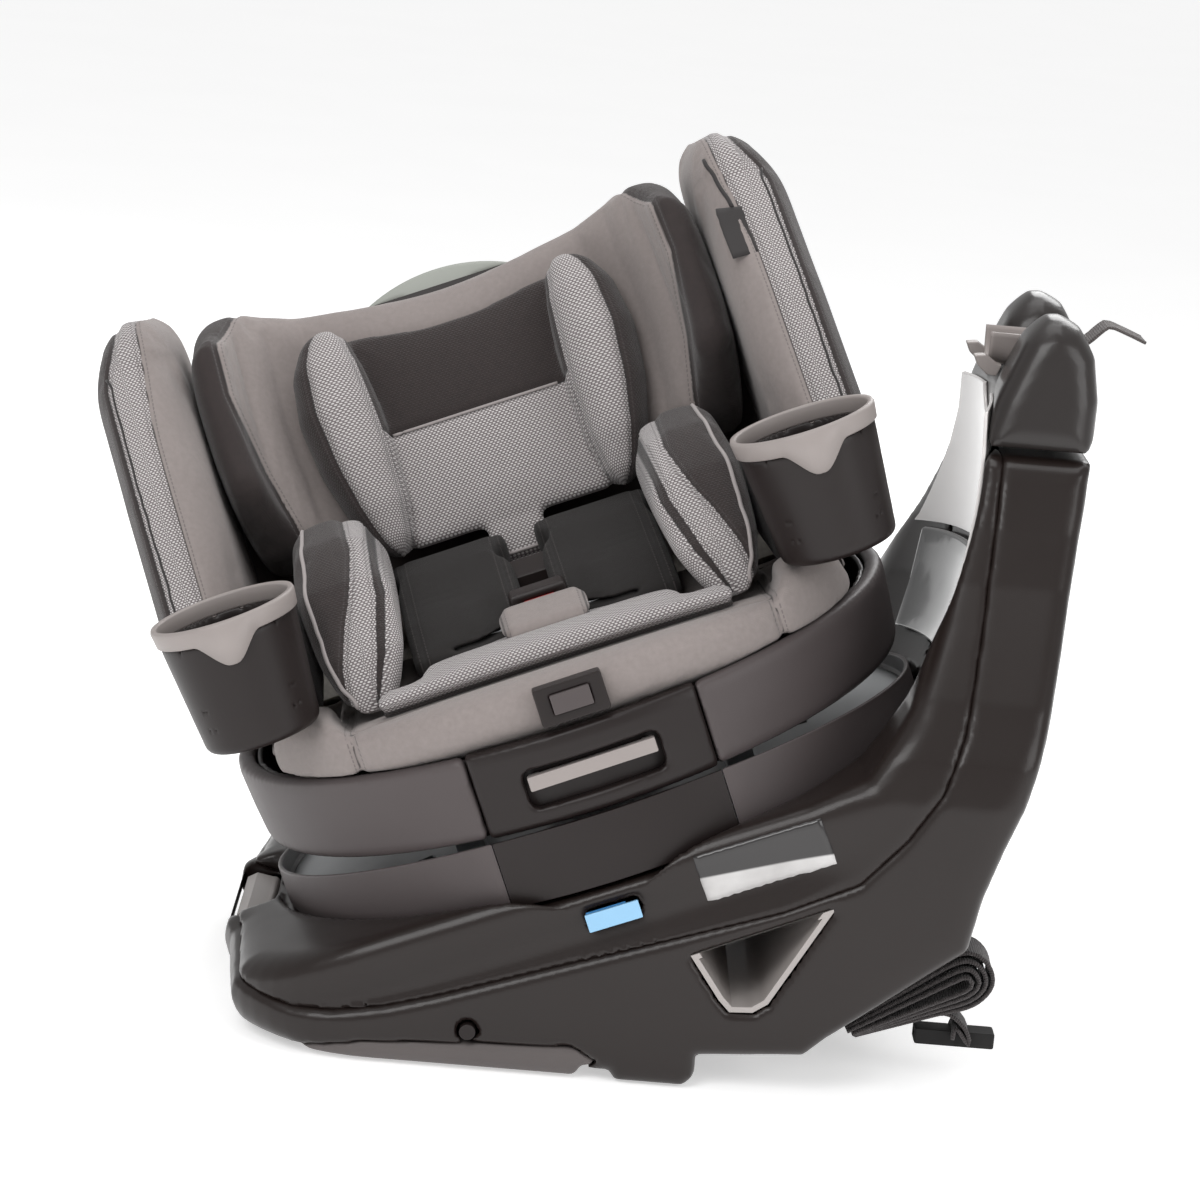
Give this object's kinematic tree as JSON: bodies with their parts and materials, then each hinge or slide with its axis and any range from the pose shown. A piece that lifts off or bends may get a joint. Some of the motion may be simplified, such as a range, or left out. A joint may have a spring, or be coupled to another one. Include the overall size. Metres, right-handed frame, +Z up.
{
  "type": "rotating convertible child car seat",
  "caption": "Child car seat with a padded reclining shell and removable cup holders, turning on a tilted turntable in a base with an upright rear column.",
  "frame": {"origin": "on the resting plane, straight under the centre of the turntable", "axes": "+Z up from the vehicle seat, +X towards the vehicle backrest, the child seat faces -Y at rest"},
  "size_m": [0.7747, 0.5489, 0.629],
  "materials": {
    "shell_dark": "satin moulded plastic",
    "shell_grey": "fine moulded texture",
    "foot_grey": "fine moulded texture",
    "bowl_grey": "fine moulded texture",
    "trim_light": "smooth moulded",
    "panel_silver": "silver printed panel",
    "rubber": "matt",
    "steel": "pressed steel",
    "plastic_white": "low-friction plastic",
    "window_blue": "clear tinted",
    "flag_blue": "painted",
    "webbing": "woven webbing",
    "fabric_grey": "smooth knitted cover",
    "fabric_mesh": "spacer mesh with raised dots",
    "fabric_black": "knitted cover",
    "foam": "expanded foam",
    "button_red": "smooth moulded"
  },
  "bodies": {
    "base": {"base_lower_shell": "shell_grey", "base_upper_shell": "shell_dark", "front_foot": "foot_grey", "foot_pads": "rubber", "column_cap": "shell_grey", "column_panel": "panel_silver", "guard_ring": "shell_dark", "tether_guide": "trim_light", "tether_strap": "webbing", "belt_path_insert": "trim_light", "base_frame": "steel", "spindle": "steel", "retaining_nut": "steel", "glide_ring": "plastic_white", "indicator_window": "window_blue", "info_label": "panel_silver", "base_screws": "steel", "lower_anchor_strap": "webbing", "lower_anchor_connectors": "steel"},
    "rotation_lever": {"rotation_lever": "panel_silver"},
    "lock_pin": {"lock_pin": "steel"},
    "indicator_flag": {"indicator_flag": "flag_blue"},
    "turntable": {"turntable_plate": "steel", "turntable_skirt": "bowl_grey", "skirt_front_panel": "shell_dark", "recline_tracks": "steel"},
    "seat": {"seat_shell": "shell_dark", "seat_bowl": "bowl_grey", "front_cover": "shell_dark", "recline_rails": "steel", "energy_foam": "foam", "seat_cushion": "fabric_grey", "wing_left": "fabric_grey", "wing_right": "fabric_grey", "armrest_left": "fabric_black", "armrest_right": "fabric_black", "insert_left": "fabric_mesh", "insert_right": "fabric_mesh", "insert_roll": "fabric_mesh", "crotch_pad": "fabric_mesh", "harness_straps": "webbing", "shoulder_pad_left": "fabric_black", "shoulder_pad_right": "fabric_black", "buckle_body": "shell_dark", "buckle_tongues": "steel", "harness_adjuster": "shell_dark"},
    "recline_latch": {"recline_latch": "steel"},
    "recline_handle": {"recline_handle": "panel_silver"},
    "buckle_button": {"buckle_button": "button_red"},
    "adjuster_button": {"adjuster_button": "trim_light"},
    "chest_clip": {"chest_clip": "shell_dark"},
    "headrest_handle": {"headrest_handle": "trim_light"},
    "cup_holder_left": {"cup_left": "shell_dark", "cup_rim_left": "trim_light"},
    "cup_holder_right": {"cup_right": "shell_dark", "cup_rim_right": "trim_light"},
    "headrest": {"headrest_shell": "shell_dark", "headrest_cover": "fabric_grey", "head_pillow": "fabric_mesh"}
  },
  "joints": [
    {"name": "seat_rotation", "type": "hinge", "parent": "base", "child": "turntable", "pos_m": [0, 0, 0.136], "axis": [-0.3811, 0, 0.9245], "continuous": true},
    {"name": "rotation_lever", "type": "hinge", "parent": "base", "child": "rotation_lever", "pos_m": [-0.239, 0, 0.033], "axis": [0, 1, 0], "range_deg": [-15, 0]},
    {"name": "lock_pin_travel", "type": "slide", "parent": "base", "child": "lock_pin", "axis": [-0.3811, 0, 0.9245], "range_m": [0, 0.009]},
    {"name": "indicator_travel", "type": "slide", "parent": "base", "child": "indicator_flag", "axis": [0.9245, 0, 0.3811], "range_m": [0, 0.008]},
    {"name": "recline", "type": "hinge", "parent": "turntable", "child": "seat", "pos_m": [-0.15243, 0, 0.50582], "axis": [0.9217, 0.0785, 0.3799], "range_deg": [0, 12]},
    {"name": "recline_handle_pull", "type": "slide", "parent": "seat", "child": "recline_handle", "axis": [0.0725, -0.9969, 0.0299], "range_m": [0, 0.012]},
    {"name": "recline_latch_lift", "type": "slide", "parent": "seat", "child": "recline_latch", "axis": [-0.3811, 0, 0.9245], "range_m": [0, 0.004]},
    {"name": "headrest_height", "type": "slide", "parent": "seat", "child": "headrest", "axis": [-0.3725, 0.4526, 0.8102], "range_m": [0, 0.11]},
    {"name": "headrest_handle_lift", "type": "slide", "parent": "headrest", "child": "headrest_handle", "axis": [-0.3725, 0.4526, 0.8102], "range_m": [0, 0.008]},
    {"name": "buckle_press", "type": "slide", "parent": "seat", "child": "buckle_button", "axis": [-0.0725, 0.9969, -0.0299], "range_m": [0, 0.0035]},
    {"name": "adjuster_press", "type": "slide", "parent": "seat", "child": "adjuster_button", "axis": [-0.0725, 0.9969, -0.0299], "range_m": [0, 0.0025]},
    {"name": "chest_clip_slide", "type": "slide", "parent": "seat", "child": "chest_clip", "axis": [-0.1564, 0.9714, 0.1788], "range_m": [0, 0.02]},
    {"name": "cup_left_lift_off", "type": "slide", "parent": "seat", "child": "cup_holder_left", "axis": [-0.3811, 0, 0.9245], "range_m": [0, 0.06]},
    {"name": "cup_right_lift_off", "type": "slide", "parent": "seat", "child": "cup_holder_right", "axis": [-0.3811, 0, 0.9245], "range_m": [0, 0.06]}
  ],
  "couplings": [
    {"joint": "lock_pin_travel", "follows": "rotation_lever", "m_per_rad": -0.034377},
    {"joint": "indicator_travel", "follows": "rotation_lever", "m_per_rad": -0.030558},
    {"joint": "recline_latch_lift", "follows": "recline_handle_pull", "ratio": 0.33333}
  ]
}
